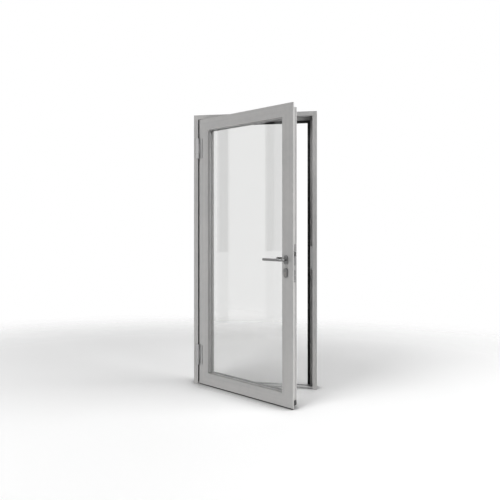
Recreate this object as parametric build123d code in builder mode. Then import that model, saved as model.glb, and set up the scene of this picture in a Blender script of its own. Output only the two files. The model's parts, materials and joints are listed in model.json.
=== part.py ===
"""Single-leaf glass door in its aluminium frame, standing open.

The frame stands on Z = 0 with X across the door, Y from the front face to the back, and its
origin under the middle of the threshold. The leaf is drawn in its own axes, which turn about the
hinge pins by the angle at which the door stands open.
"""

from build123d import *
import math
import os

# Frame
frame_width = 1000.0
frame_height = 2200.0
frame_face = 35.0
frame_front_depth = 30.0
frame_break = 16.0
frame_rear_depth = 46.0
stop_width = 31.0
stop_thickness = 12.0
wall = 2.0
grooved_wall = 5.0
edge_round = 0.8

# Seal on the tip of the stop
stop_seal_cover = 11.0
stop_seal_lip = 4.0
stop_seal_thickness = 1.6
stop_seal_round = 1.2
seal_slot_width = 2.5
seal_slot_depth = 4.0
seal_slot_offset = 5.0
seal_slot_fit = 0.1
tip_wall = 6.0

# Plastic bars of the cold bridge
bar_thickness = 2.0
bar_head = 4.0
bar_head_depth = 2.4
bar_fit = 0.1
frame_bar_inset = 5.0
leaf_bar_inset = 6.0

# Threshold
threshold_setback = 16.0
threshold_height = 15.0
threshold_front_depth = 22.0
threshold_core_depth = 22.0
threshold_rear_depth = 18.0
threshold_core_drop = 2.0
threshold_ramp = 3.0
threshold_end_gap = 0.2

# Leaf
leaf_gap = 5.0
leaf_floor_gap = 8.0
rest_opening = 30.0
flange_width = 20.0
flange_thickness = 11.0
leaf_face = 94.0
leaf_front_depth = 24.0
leaf_break = 16.0
leaf_rear_depth = 38.0
bead_width = 16.7
bead_depth = 22.0
bead_joint = 0.3
bead_wall = 1.6
plate_groove_depth = 3.0
cleat_fit = 0.2
cleat_overlap = 92.0
frame_cleat_length = 90.0

# Glazing
pane_thickness = 6.0
pane_spacing = 16.0
seal_gap = 4.0
glass_edge_gap = 4.0
spacer_width = 7.0
edge_seal_width = 4.0
glazing_seal_width = 6.4
glazing_seal_inset = 0.6
block_length = 100.0
block_end_distance = 140.0

# Seal under the leaf
carrier_setback = 13.0
carrier_thickness = 2.0
carrier_height = 9.0
seal_base = 2.0
seal_fin = 6.0
seal_fin_inset = 9.0
seal_clearance = 0.6
end_cap_thickness = 3.0
end_cap_height = 35.0
end_cap_margin = 1.0
end_cap_depth = 53.0

# Hinges
hinge_standoff = 15.0
hinge_end_distance = 235.0
knuckle_radius = 10.5
end_knuckle = 35.3
middle_knuckle = 84.0
knuckle_gap = 1.2
pin_radius = 5.0
pin_fit = 0.05
bush_wall = 2.0
bush_collar = 1.0
bush_collar_radius = 9.5
cap_thickness = 3.0
cap_bevel = 1.2
wing_thickness = 4.0
wing_end_gap = 0.5
frame_wing_width = 19.5
leaf_wing_width = 35.5
wing_round = 0.8
neck_width = 8.0
hinge_screw_pitch = 55.0

# Screws
screw_radius = 2.0
screw_head_radius = 4.0
screw_length = 14.0
screw_fit = 0.1
sink_angle = 90.0

# Wall fixings through the jambs
fixing_radius = 4.0
fixing_depth_place = 70.0
fixing_outer_pitch = 1500.0
fixing_inner_pitch = 500.0
fixing_middle_height = 1100.0

# Lock
backset = 40.0
lock_setback = 54.5
lever_height = 1050.0
cylinder_pitch = 92.0
faceplate_width = 24.0
faceplate_overhang = 35.0
faceplate_fit = 0.2
faceplate_screw_inset = 12.0
faceplate_corner = 3.0
case_thickness = 16.0
case_wall = 1.5
case_depth = 50.5
case_top_margin = 19.5
case_bottom_margin = 8.5
case_fit = 0.2
latch_height = 31.0
latch_rise = 40.0
latch_thickness = 12.0
latch_throw = 12.0
latch_head_length = 28.0
latch_tail_height = 16.0
latch_tail_thickness = 7.0
latch_tip_thickness = 3.0
lug_width = 2.3
lug_gap = 0.1
lug_clearance = 3.45
bolt_height = 33.6
bolt_clearance = 8.7
bolt_length = 34.0
bolt_round = 1.0
slot_fit = 0.3

# Follower and spindle
follower_radius = 9.95
follower_bore_fit = 0.05
follower_arm_clearance = 1.5
follower_arm_width = 5.0
follower_arm_thickness = 7.0
follower_arm_angle = 25.0
spindle_side = 8.0
spindle_fit = 0.1
spindle_hole_radius = 8.0

# Levers and their plates
lever_radius = 9.5
lever_bearing_fit = 0.05
lever_reach = 170.0
lever_standoff = 50.0
lever_bend = 22.0
lever_end_round = 5.0
lever_base_gap = 1.0
collar_radius = 12.0
collar_thickness = 3.6
collar_gap = 0.3
socket_depth = 26.0
spindle_end_gap = 1.0
plate_width = 34.0
plate_height = 66.0
plate_thickness = 8.0
plate_bevel = 1.5

# Key cylinder
cylinder_radius = 8.5
cylinder_web = 10.0
cylinder_drop = 33.0
cylinder_proud = 2.5
cylinder_fit = 0.25
cylinder_screw_length = 44.0
plug_radius = 6.5
plug_fit = 0.05
plug_proud = 0.5
cam_radius = 11.5
cam_width = 8.0
cam_thickness = 9.0
cam_slot = 10.0
cam_clearance = 0.5
keyway_width = 1.6
keyway_height = 7.5
keyway_depth = 4.0

# Keep on the lock jamb
keep_thickness = 18.0
keep_depth = 24.0
keep_margin = 24.0
keep_pocket_fit = 1.0
keep_pocket_floor = 3.0
keep_ramp = 4.0
keep_screw_inset = 11.0

# Worked out from the sizes above
frame_depth = frame_front_depth + frame_break + frame_rear_depth
frame_break_end = frame_front_depth + frame_break
stop_face = frame_depth - stop_thickness
stop_tip = frame_face + stop_width
front_y = -frame_depth / 2
leaf_width = frame_width - 2 * (frame_face + leaf_gap)
leaf_top = frame_height - frame_face - leaf_gap
leaf_bottom = leaf_floor_gap
leaf_height = leaf_top - leaf_bottom
leaf_break_end = leaf_front_depth + leaf_break
leaf_depth = leaf_break_end + leaf_rear_depth
pocket_floor = leaf_face - bead_width - bead_joint
glass_inset = pocket_floor + glass_edge_gap
glass_front = bead_depth + seal_gap
glass_thickness = 2 * pane_thickness + pane_spacing
glass_back = glass_front + glass_thickness
leg_front = glass_back + seal_gap
reach = frame_depth + leaf_depth

lever_x = leaf_width - flange_width - backset
cylinder_height = lever_height - cylinder_pitch
cylinder_web_drop = cylinder_drop - cylinder_radius - cylinder_web / 2
cylinder_screw_height = cylinder_height - cylinder_web_drop
latch_centre_height = lever_height + latch_rise
latch_low = latch_rise - latch_height / 2
bolt_centre_height = cylinder_height + cylinder_radius + bolt_clearance + bolt_height / 2
case_top_height = latch_centre_height + latch_height / 2 + case_top_margin
case_bottom_height = cylinder_height + cylinder_radius - cylinder_drop - case_bottom_margin
case_length = case_top_height - case_bottom_height
faceplate_centre = (case_top_height + case_bottom_height) / 2
faceplate_length = case_length + 2 * faceplate_overhang
follower_arm_length = latch_low - follower_arm_clearance - follower_arm_width / 2
arm_lean = math.radians(follower_arm_angle)
lug_bottom = follower_radius + lug_clearance
lug_place = (
    lug_bottom * math.tan(arm_lean) - follower_arm_width / 2 / math.cos(arm_lean) - lug_gap
)

hinge_x = -frame_width / 2 + frame_face + leaf_gap / 2
hinge_y = front_y - hinge_standoff
hinge_heights = {
    "upper": leaf_top - hinge_end_distance,
    "lower": leaf_bottom + hinge_end_distance,
}
hinge_pin_length = 2 * end_knuckle + 2 * knuckle_gap + middle_knuckle
wing_length = hinge_pin_length - 2 * wing_end_gap

swing = math.radians(rest_opening)
leaf_origin = (
    hinge_x + leaf_gap / 2 * math.cos(swing) + hinge_standoff * math.sin(swing),
    hinge_y - leaf_gap / 2 * math.sin(swing) + hinge_standoff * math.cos(swing),
    0,
)
leaf_axes = Plane(
    origin=leaf_origin, x_dir=(math.cos(swing), -math.sin(swing), 0), z_dir=(0, 0, 1)
)


def on_leaf(plane):
    """A plane given in the leaf's own axes, at its place in the open door."""
    return Plane(leaf_axes.location * plane.location)


def sides(left, right, low, high, front):
    """Section planes of a rectangular frame: local X runs inwards, local Y from front to back."""
    return {
        "hinge": (Plane((left, front, low), x_dir=(1, 0, 0), z_dir=(0, 0, 1)), high - low),
        "lock": (Plane((right, front, high), x_dir=(-1, 0, 0), z_dir=(0, 0, -1)), high - low),
        "top": (Plane((left, front, high), x_dir=(0, 0, -1), z_dir=(1, 0, 0)), right - left),
        "bottom": (Plane((right, front, low), x_dir=(0, 0, 1), z_dir=(-1, 0, 0)), right - left),
    }


def section(plane, outline, chambers=(), rounded=(), radius=edge_round):
    """A profile's cross-section: its outline with some corners rounded, less its chambers."""
    with BuildSketch(plane) as profile:
        with BuildLine():
            Polyline(*outline, close=True)
        make_face()
        corners = [
            vertex
            for vertex in profile.vertices()
            if any(math.dist((vertex.X, vertex.Y), place) < 0.001 for place in rounded)
        ]
        if corners:
            fillet(corners, radius)
        for chamber in chambers:
            with BuildLine():
                Polyline(*chamber, close=True)
            make_face(mode=Mode.SUBTRACT)
    return profile.sketch


def box_outline(x_low, x_high, y_low, y_high):
    """The four corners of a rectangle."""
    return [(x_low, y_low), (x_high, y_low), (x_high, y_high), (x_low, y_high)]


def mitre_mask(plane, length, start=True, end=True):
    """The side view of a bar with its mitred ends, to intersect with the plain bar."""
    side_view = Plane(plane.origin, x_dir=plane.x_dir, z_dir=-plane.y_dir)
    low = reach if start else -1
    high = length - reach if end else length + 1
    with BuildSketch(side_view) as mask:
        with BuildLine():
            Polyline((-1, -1), (reach, low), (reach, high), (-1, length + 1), close=True)
        make_face()
    return mask.sketch


def groove(centre, depth, into):
    """A dovetail groove at a centre, open at a depth, cut into the metal in direction into."""
    neck = bar_thickness / 2 + bar_fit
    head = bar_head / 2 + bar_fit
    floor = depth + into * (bar_head_depth + bar_fit)
    return [
        (centre - neck, depth),
        (centre - head, floor),
        (centre + head, floor),
        (centre + neck, depth),
    ]


def bar_outline(centre, front, back):
    """A plastic bar between two grooves, with a dovetail head at each end."""
    neck = bar_thickness / 2
    head = bar_head / 2
    return [
        (centre - head, front - bar_head_depth),
        (centre + head, front - bar_head_depth),
        (centre + neck, front),
        (centre + neck, back),
        (centre + head, back + bar_head_depth),
        (centre - head, back + bar_head_depth),
        (centre - neck, back),
        (centre - neck, front),
    ]


def angle_outline(inner, outer, end):
    """A right-angled corner key, seen from the front, from the corner of the profile."""
    return [(inner, inner), (end, inner), (end, outer), (outer, outer), (outer, end), (inner, end)]


def ring(plane, width, height, outer_inset, inner_inset):
    """A flat rectangular ring, inset from a rectangle centred on a plane."""
    with BuildSketch(plane) as band:
        Rectangle(width - 2 * outer_inset, height - 2 * outer_inset)
        Rectangle(width - 2 * inner_inset, height - 2 * inner_inset, mode=Mode.SUBTRACT)
    return band.sketch


def cylinder_profile(plane, grow=0.0):
    """The key cylinder's keyhole-shaped outline about its plug's axis."""
    web_radius = cylinder_web / 2 + grow
    with BuildSketch(plane) as outline:
        Circle(cylinder_radius + grow)
        with Locations((0, -cylinder_web_drop / 2)):
            Rectangle(2 * web_radius, cylinder_web_drop)
        with Locations((0, -cylinder_web_drop)):
            Circle(web_radius)
    return outline.sketch


def screw_profile(plane, length):
    """Half the section of a countersunk screw, about local Y, with its head's top at zero."""
    with BuildSketch(plane) as half:
        with BuildLine():
            Polyline(
                (0, 0),
                (screw_head_radius, 0),
                (screw_radius, -(screw_head_radius - screw_radius)),
                (screw_radius, -length),
                (0, -length),
                close=True,
            )
        make_face()
    return half.sketch


os.makedirs("parts", exist_ok=True)

frame_sides = sides(-frame_width / 2, frame_width / 2, 0, frame_height, front_y)
frame_members = {
    "hinge_jamb": (*frame_sides["hinge"], False, True),
    "lock_jamb": (*frame_sides["lock"], True, False),
    "head": (*frame_sides["top"], True, True),
}
leaf_sides = sides(0, leaf_width, leaf_bottom, leaf_top, 0)
leaf_members = {
    "leaf_hinge_stile": leaf_sides["hinge"],
    "leaf_lock_stile": leaf_sides["lock"],
    "leaf_top_rail": leaf_sides["top"],
    "leaf_bottom_rail": leaf_sides["bottom"],
}

# Frame profiles: a front shell and a rear shell with the stop, mitred at the top corners
frame_bars = (frame_bar_inset, frame_face - frame_bar_inset)
frame_front_outline = [
    (0, 0),
    (frame_face, 0),
    (frame_face, frame_front_depth),
    *reversed(groove(frame_bars[1], frame_front_depth, -1)),
    *reversed(groove(frame_bars[0], frame_front_depth, -1)),
    (0, frame_front_depth),
]
frame_front_chamber = box_outline(
    wall, frame_face - wall, wall, frame_front_depth - grooved_wall
)
slot_centre = stop_face + seal_slot_offset + seal_slot_width / 2
frame_rear_outline = [
    (0, frame_break_end),
    *groove(frame_bars[0], frame_break_end, 1),
    *groove(frame_bars[1], frame_break_end, 1),
    (frame_face, frame_break_end),
    (frame_face, stop_face),
    (stop_tip, stop_face),
    (stop_tip, slot_centre - seal_slot_width / 2),
    (stop_tip - seal_slot_depth, slot_centre - seal_slot_width / 2),
    (stop_tip - seal_slot_depth, slot_centre + seal_slot_width / 2),
    (stop_tip, slot_centre + seal_slot_width / 2),
    (stop_tip, frame_depth),
    (0, frame_depth),
]
frame_rear_chambers = [
    box_outline(wall, frame_face - wall, frame_break_end + grooved_wall, frame_depth - wall),
    box_outline(frame_face, stop_tip - tip_wall, stop_face + wall, frame_depth - wall),
]
stop_seal_outline = [
    (stop_tip - stop_seal_cover, stop_face - stop_seal_thickness),
    (stop_tip + stop_seal_lip, stop_face - stop_seal_thickness),
    (stop_tip + stop_seal_lip, frame_depth),
    (stop_tip, frame_depth),
    (stop_tip, slot_centre + seal_slot_width / 2 - seal_slot_fit),
    (stop_tip - seal_slot_depth + seal_slot_fit, slot_centre + seal_slot_width / 2 - seal_slot_fit),
    (stop_tip - seal_slot_depth + seal_slot_fit, slot_centre - seal_slot_width / 2 + seal_slot_fit),
    (stop_tip, slot_centre - seal_slot_width / 2 + seal_slot_fit),
    (stop_tip, stop_face),
    (stop_tip - stop_seal_cover, stop_face),
]

fixing_heights = [
    fixing_middle_height + side * pitch / 2
    for pitch in (fixing_outer_pitch, fixing_inner_pitch)
    for side in (-1, 1)
]
frame_wing_centre = -frame_width / 2 + frame_face - wing_end_gap - frame_wing_width / 2
hinge_screw_heights = [
    height + step * hinge_screw_pitch for height in hinge_heights.values() for step in (-1, 0, 1)
]
frame_hinge_screws = [(frame_wing_centre, height) for height in hinge_screw_heights]
keep_face = frame_width / 2 - frame_face - keep_thickness
keep_top = latch_centre_height + latch_height / 2 + keep_margin
keep_bottom = bolt_centre_height - bolt_height / 2 - keep_margin
keep_y = front_y + lock_setback
keep_screw_heights = (keep_top - keep_screw_inset, keep_bottom + keep_screw_inset)

for name, (plane, length, mitred_start, mitred_end) in frame_members.items():
    mask = mitre_mask(plane, length, mitred_start, mitred_end)

    with BuildPart() as front_shell:
        extrude(
            section(
                plane, frame_front_outline, [frame_front_chamber], [(0, 0), (frame_face, 0)]
            ),
            amount=length,
        )
        extrude(mask, amount=reach, both=True, mode=Mode.INTERSECT)
        if name == "hinge_jamb":
            with Locations(Plane.XZ.offset(-front_y)):
                with Locations(*frame_hinge_screws):
                    Hole(screw_radius + screw_fit, depth=wall + edge_round)
    front_shell.part.label = f"{name}_front_shell"
    export_step(front_shell.part, f"parts/{front_shell.part.label}.step")

    with BuildPart() as rear_shell:
        extrude(
            section(
                plane,
                frame_rear_outline,
                frame_rear_chambers,
                [(0, frame_depth), (stop_tip, frame_depth)],
            ),
            amount=length,
        )
        extrude(mask, amount=reach, both=True, mode=Mode.INTERSECT)
        if name != "head":
            outer_x = -frame_width / 2 if name == "hinge_jamb" else frame_width / 2 - frame_face
            fixing_plane = Plane(
                (outer_x, front_y + fixing_depth_place, 0), x_dir=(0, 1, 0), z_dir=(1, 0, 0)
            )
            with BuildSketch(fixing_plane):
                with Locations(*[(0, height) for height in fixing_heights]):
                    Circle(fixing_radius)
            extrude(amount=frame_face, mode=Mode.SUBTRACT)
        if name == "lock_jamb":
            keep_wall = Plane(
                (frame_width / 2 - frame_face, keep_y, 0), x_dir=(0, 1, 0), z_dir=(1, 0, 0)
            )
            with BuildSketch(keep_wall):
                with Locations(*[(0, height) for height in keep_screw_heights]):
                    Circle(screw_radius + screw_fit)
            extrude(amount=wall, mode=Mode.SUBTRACT)
    rear_shell.part.label = f"{name}_rear_shell"
    export_step(rear_shell.part, f"parts/{rear_shell.part.label}.step")

with BuildPart() as frame_thermal_bars:
    for plane, length, mitred_start, mitred_end in frame_members.values():
        mask = mitre_mask(plane, length, mitred_start, mitred_end)
        with BuildPart(mode=Mode.PRIVATE) as pair:
            for centre in frame_bars:
                extrude(
                    section(plane, bar_outline(centre, frame_front_depth, frame_break_end)),
                    amount=length,
                )
            extrude(mask, amount=reach, both=True, mode=Mode.INTERSECT)
        add(pair.part)
frame_thermal_bars.part.label = "frame_thermal_bars"
export_step(frame_thermal_bars.part, "parts/frame_thermal_bars.step")

with BuildPart() as frame_stop_gasket:
    for plane, length, mitred_start, mitred_end in frame_members.values():
        mask = mitre_mask(plane, length, mitred_start, mitred_end)
        seal_nose = (stop_tip + stop_seal_lip, stop_face - stop_seal_thickness)
        with BuildPart(mode=Mode.PRIVATE) as strip:
            extrude(
                section(plane, stop_seal_outline, rounded=[seal_nose], radius=stop_seal_round),
                amount=length,
            )
            extrude(mask, amount=reach, both=True, mode=Mode.INTERSECT)
        add(strip.part)
frame_stop_gasket.part.label = "frame_stop_gasket"
export_step(frame_stop_gasket.part, "parts/frame_stop_gasket.step")

# Corner keys of the frame, in the front and rear chambers of the two top corners
with BuildPart() as frame_corner_cleats:
    for across, x_corner in ((1, -frame_width / 2), (-1, frame_width / 2)):
        for front, back in (
            (wall, frame_front_depth - grooved_wall),
            (frame_break_end + grooved_wall, frame_depth - wall),
        ):
            outline = angle_outline(
                wall + cleat_fit, frame_face - wall - cleat_fit, frame_cleat_length
            )
            with BuildSketch(Plane.XZ.offset(-front_y - front - cleat_fit)):
                with BuildLine():
                    Polyline(
                        *[(x_corner + across * x, frame_height - z) for x, z in outline],
                        close=True,
                    )
                make_face()
            extrude(amount=-(back - front - 2 * cleat_fit))
frame_corner_cleats.part.label = "frame_corner_cleats"
export_step(frame_corner_cleats.part, "parts/frame_corner_cleats.step")

# Threshold between the jambs
threshold_front_end = threshold_setback + threshold_front_depth
threshold_rear_start = threshold_front_end + threshold_core_depth
threshold_rear_end = threshold_rear_start + threshold_rear_depth
threshold_half = frame_width / 2 - frame_face - threshold_end_gap
threshold_plane = Plane((threshold_half, front_y, 0), x_dir=(0, 0, 1), z_dir=(-1, 0, 0))

with BuildPart() as threshold_front_shell:
    extrude(
        section(
            threshold_plane,
            [
                (0, threshold_setback),
                (threshold_height - threshold_ramp, threshold_setback),
                (threshold_height, threshold_setback + threshold_ramp),
                (threshold_height, threshold_front_end),
                (0, threshold_front_end),
            ],
            [
                box_outline(
                    wall,
                    threshold_height - wall,
                    threshold_setback + threshold_ramp,
                    threshold_front_end - wall,
                )
            ],
        ),
        amount=2 * threshold_half,
    )
threshold_front_shell.part.label = "threshold_front_shell"
export_step(threshold_front_shell.part, "parts/threshold_front_shell.step")

with BuildPart() as threshold_core:
    extrude(
        section(
            threshold_plane,
            box_outline(
                0, threshold_height - threshold_core_drop, threshold_front_end, threshold_rear_start
            ),
            [
                box_outline(
                    wall,
                    threshold_height - threshold_core_drop - wall,
                    threshold_front_end + wall,
                    threshold_rear_start - wall,
                )
            ],
        ),
        amount=2 * threshold_half,
    )
threshold_core.part.label = "threshold_core"
export_step(threshold_core.part, "parts/threshold_core.step")

with BuildPart() as threshold_rear_shell:
    extrude(
        section(
            threshold_plane,
            [
                (0, threshold_rear_start),
                (threshold_height, threshold_rear_start),
                (threshold_height, threshold_rear_end - threshold_ramp),
                (threshold_height - threshold_ramp, threshold_rear_end),
                (0, threshold_rear_end),
            ],
            [
                box_outline(
                    wall,
                    threshold_height - wall,
                    threshold_rear_start + wall,
                    threshold_rear_end - threshold_ramp,
                )
            ],
        ),
        amount=2 * threshold_half,
    )
threshold_rear_shell.part.label = "threshold_rear_shell"
export_step(threshold_rear_shell.part, "parts/threshold_rear_shell.step")

# Keep on the lock jamb, with a pocket for the latch and one for the deadbolt
keep_plane = Plane((keep_face, keep_y, 0), x_dir=(0, 1, 0), z_dir=(1, 0, 0))
with BuildPart() as strike_keep:
    with BuildSketch(keep_plane):
        with Locations((0, (keep_top + keep_bottom) / 2)):
            Rectangle(keep_depth, keep_top - keep_bottom)
    extrude(amount=keep_thickness)
    front_edge = strike_keep.edges().filter_by(Axis.Z).sort_by(Axis.Y)[:2].sort_by(Axis.X)[0]
    chamfer(front_edge, keep_ramp)
    with BuildSketch(keep_plane):
        with Locations((0, latch_centre_height)):
            Rectangle(latch_thickness + 2 * keep_pocket_fit, latch_height + 2 * keep_pocket_fit)
        with Locations((0, bolt_centre_height)):
            Rectangle(latch_thickness + 2 * keep_pocket_fit, bolt_height + 2 * keep_pocket_fit)
    extrude(amount=keep_thickness - keep_pocket_floor, mode=Mode.SUBTRACT)
    with Locations(Plane((keep_face, keep_y, 0), x_dir=(0, -1, 0), z_dir=(-1, 0, 0))):
        with Locations(*[(0, height) for height in keep_screw_heights]):
            CounterSinkHole(
                screw_radius + screw_fit,
                screw_head_radius + screw_fit,
                depth=keep_thickness,
                counter_sink_angle=sink_angle,
            )
strike_keep.part.label = "strike_keep"
export_step(strike_keep.part, "parts/strike_keep.step")

# Leaf profiles: front shells with the overlapping flange, rear shells with the lock's groove
leaf_bars = (flange_width + leaf_bar_inset, pocket_floor - leaf_bar_inset)
leaf_front_outline = [
    (0, 0),
    (pocket_floor, 0),
    (pocket_floor, leaf_front_depth),
    *reversed(groove(leaf_bars[1], leaf_front_depth, -1)),
    *reversed(groove(leaf_bars[0], leaf_front_depth, -1)),
    (flange_width, leaf_front_depth),
    (flange_width, flange_thickness),
    (0, flange_thickness),
]
leaf_front_chambers = [
    box_outline(wall, flange_width, wall, flange_thickness - wall),
    box_outline(flange_width + wall, pocket_floor - wall, wall, leaf_front_depth - grooved_wall),
]
plate_groove_front = lock_setback - faceplate_width / 2 - faceplate_fit
plate_groove_back = lock_setback + faceplate_width / 2 + faceplate_fit
groove_floor = flange_width + plate_groove_depth
leaf_rear_outline = [
    (flange_width, leaf_break_end),
    *groove(leaf_bars[0], leaf_break_end, 1),
    *groove(leaf_bars[1], leaf_break_end, 1),
    (pocket_floor, leaf_break_end),
    (pocket_floor, leg_front),
    (leaf_face, leg_front),
    (leaf_face, leaf_depth),
    (flange_width, leaf_depth),
    (flange_width, plate_groove_back),
    (groove_floor, plate_groove_back),
    (groove_floor, plate_groove_front),
    (flange_width, plate_groove_front),
]
leaf_rear_chambers = [
    box_outline(
        groove_floor + wall,
        pocket_floor - wall,
        leaf_break_end + grooved_wall,
        leaf_depth - wall,
    ),
    box_outline(pocket_floor, leaf_face - wall, leg_front + wall, leaf_depth - wall),
]
bead_outline = box_outline(pocket_floor + bead_joint, leaf_face, 0, bead_depth)
bead_chamber = box_outline(
    pocket_floor + bead_joint + bead_wall, leaf_face - bead_wall, bead_wall, bead_depth - bead_wall
)

leaf_wing_centre = wing_end_gap + leaf_wing_width / 2
leaf_screw_x = flange_width + wall + screw_head_radius
leaf_hinge_screws = [(leaf_screw_x, height) for height in hinge_screw_heights]
faceplate_screw_heights = [
    faceplate_centre + side * (faceplate_length / 2 - faceplate_screw_inset) for side in (-1, 1)
]
lock_front = on_leaf(Plane((lever_x, 0, lever_height), x_dir=(1, 0, 0), z_dir=(0, -1, 0)))
cylinder_front = on_leaf(
    Plane((lever_x, 0, cylinder_height), x_dir=(1, 0, 0), z_dir=(0, -1, 0))
)

for name, (leaf_plane, length) in leaf_members.items():
    plane = on_leaf(leaf_plane)
    mask = mitre_mask(plane, length)

    with BuildPart() as front_shell:
        extrude(
            section(plane, leaf_front_outline, leaf_front_chambers, [(0, 0)]), amount=length
        )
        extrude(mask, amount=reach, both=True, mode=Mode.INTERSECT)
        if name == "leaf_lock_stile":
            with BuildSketch(lock_front):
                Circle(spindle_hole_radius)
            extrude(amount=-leaf_front_depth, mode=Mode.SUBTRACT)
            extrude(
                cylinder_profile(cylinder_front, 2 * cylinder_fit),
                amount=-leaf_front_depth,
                mode=Mode.SUBTRACT,
            )
        if name == "leaf_hinge_stile":
            with Locations(on_leaf(Plane.XZ)):
                with Locations(*leaf_hinge_screws):
                    Hole(screw_radius + screw_fit, depth=wall + edge_round)
    front_shell.part.label = f"{name}_front_shell"
    export_step(front_shell.part, f"parts/{front_shell.part.label}.step")

    with BuildPart() as rear_shell:
        extrude(
            section(
                plane,
                leaf_rear_outline,
                leaf_rear_chambers,
                [(leaf_face, leaf_depth), (flange_width, leaf_depth)],
            ),
            amount=length,
        )
        extrude(mask, amount=reach, both=True, mode=Mode.INTERSECT)
        if name == "leaf_lock_stile":
            with BuildSketch(lock_front.offset(-leaf_break_end)):
                Circle(spindle_hole_radius)
            extrude(amount=-leaf_rear_depth, mode=Mode.SUBTRACT)
            extrude(
                cylinder_profile(cylinder_front.offset(-leaf_break_end), 2 * cylinder_fit),
                amount=-leaf_rear_depth,
                mode=Mode.SUBTRACT,
            )
            with BuildSketch(
                on_leaf(
                    Plane(
                        (leaf_width - groove_floor, lock_setback, faceplate_centre),
                        x_dir=(0, 1, 0),
                        z_dir=(1, 0, 0),
                    )
                )
            ):
                Rectangle(
                    case_thickness + 2 * case_fit, case_top_height - case_bottom_height + 2 * case_fit
                )
                with Locations(
                    *[(0, height - faceplate_centre) for height in faceplate_screw_heights]
                ):
                    Circle(screw_radius + screw_fit)
            extrude(amount=-wall, mode=Mode.SUBTRACT)
    rear_shell.part.label = f"{name}_rear_shell"
    export_step(rear_shell.part, f"parts/{rear_shell.part.label}.step")

    with BuildPart() as glazing_bead:
        extrude(
            section(plane, bead_outline, [bead_chamber], [(leaf_face, 0)]), amount=length
        )
        extrude(mask, amount=reach, both=True, mode=Mode.INTERSECT)
    glazing_bead.part.label = f"{name}_glazing_bead"
    export_step(glazing_bead.part, f"parts/{glazing_bead.part.label}.step")

with BuildPart() as leaf_thermal_bars:
    for leaf_plane, length in leaf_members.values():
        plane = on_leaf(leaf_plane)
        mask = mitre_mask(plane, length)
        with BuildPart(mode=Mode.PRIVATE) as pair:
            for centre in leaf_bars:
                extrude(
                    section(plane, bar_outline(centre, leaf_front_depth, leaf_break_end)),
                    amount=length,
                )
            extrude(mask, amount=reach, both=True, mode=Mode.INTERSECT)
        add(pair.part)
leaf_thermal_bars.part.label = "leaf_thermal_bars"
export_step(leaf_thermal_bars.part, "parts/leaf_thermal_bars.step")

# Corner keys of the leaf, eight in all
with BuildPart() as leaf_corner_cleats:
    for across, x_corner in ((1, 0), (-1, leaf_width)):
        for up, z_corner in ((1, leaf_bottom), (-1, leaf_top)):
            for inner, front, back in (
                (flange_width + wall, wall, leaf_front_depth - grooved_wall),
                (groove_floor + wall, leaf_break_end + grooved_wall, leaf_depth - wall),
            ):
                outline = angle_outline(
                    inner + cleat_fit,
                    pocket_floor - wall - cleat_fit,
                    flange_width + cleat_overlap,
                )
                with BuildSketch(on_leaf(Plane.XZ.offset(-front - cleat_fit))):
                    with BuildLine():
                        Polyline(
                            *[(x_corner + across * x, z_corner + up * z) for x, z in outline],
                            close=True,
                        )
                    make_face()
                extrude(amount=-(back - front - 2 * cleat_fit))
leaf_corner_cleats.part.label = "leaf_corner_cleats"
export_step(leaf_corner_cleats.part, "parts/leaf_corner_cleats.step")

# Sealed glazing unit: two panes, the spacer between them and the seal round its edge
leaf_centre = Plane(
    (leaf_width / 2, 0, (leaf_bottom + leaf_top) / 2), x_dir=(1, 0, 0), z_dir=(0, -1, 0)
)
glass_width = leaf_width - 2 * glass_inset
glass_height = leaf_height - 2 * glass_inset
for name, depth in (("front_pane", glass_front), ("rear_pane", glass_back - pane_thickness)):
    with BuildPart() as pane:
        with BuildSketch(on_leaf(leaf_centre.offset(-depth))):
            Rectangle(glass_width, glass_height)
        extrude(amount=-pane_thickness)
    pane.part.label = name
    export_step(pane.part, f"parts/{pane.part.label}.step")

spacer_plane = on_leaf(leaf_centre.offset(-glass_front - pane_thickness))
spacer_inset = glass_inset + edge_seal_width
with BuildPart() as glass_spacer:
    extrude(
        ring(spacer_plane, leaf_width, leaf_height, spacer_inset, spacer_inset + spacer_width),
        amount=-pane_spacing,
    )
glass_spacer.part.label = "glass_spacer"
export_step(glass_spacer.part, "parts/glass_spacer.step")

with BuildPart() as glass_edge_seal:
    extrude(
        ring(spacer_plane, leaf_width, leaf_height, glass_inset, spacer_inset),
        amount=-pane_spacing,
    )
glass_edge_seal.part.label = "glass_edge_seal"
export_step(glass_edge_seal.part, "parts/glass_edge_seal.step")

glazing_seal_edge = leaf_face - glazing_seal_inset
for name, depth in (("front_glazing_gasket", bead_depth), ("rear_glazing_gasket", glass_back)):
    with BuildPart() as glazing_gasket:
        extrude(
            ring(
                on_leaf(leaf_centre.offset(-depth)),
                leaf_width,
                leaf_height,
                glazing_seal_edge - glazing_seal_width,
                glazing_seal_edge,
            ),
            amount=-seal_gap,
        )
    glazing_gasket.part.label = name
    export_step(glazing_gasket.part, f"parts/{glazing_gasket.part.label}.step")

# Blocks that the glass stands on, and two that keep it off the lock stile
with BuildPart() as glass_setting_blocks:
    with BuildSketch(on_leaf(Plane.XZ.offset(-glass_front))):
        for x in (block_end_distance, leaf_width - block_end_distance):
            with Locations((x, leaf_bottom + pocket_floor + glass_edge_gap / 2)):
                Rectangle(block_length, glass_edge_gap)
        for z in (leaf_bottom + 2 * block_end_distance, leaf_top - 2 * block_end_distance):
            with Locations((leaf_width - pocket_floor - glass_edge_gap / 2, z)):
                Rectangle(glass_edge_gap, block_length)
    extrude(amount=-glass_thickness)
glass_setting_blocks.part.label = "glass_setting_blocks"
export_step(glass_setting_blocks.part, "parts/glass_setting_blocks.step")

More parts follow.
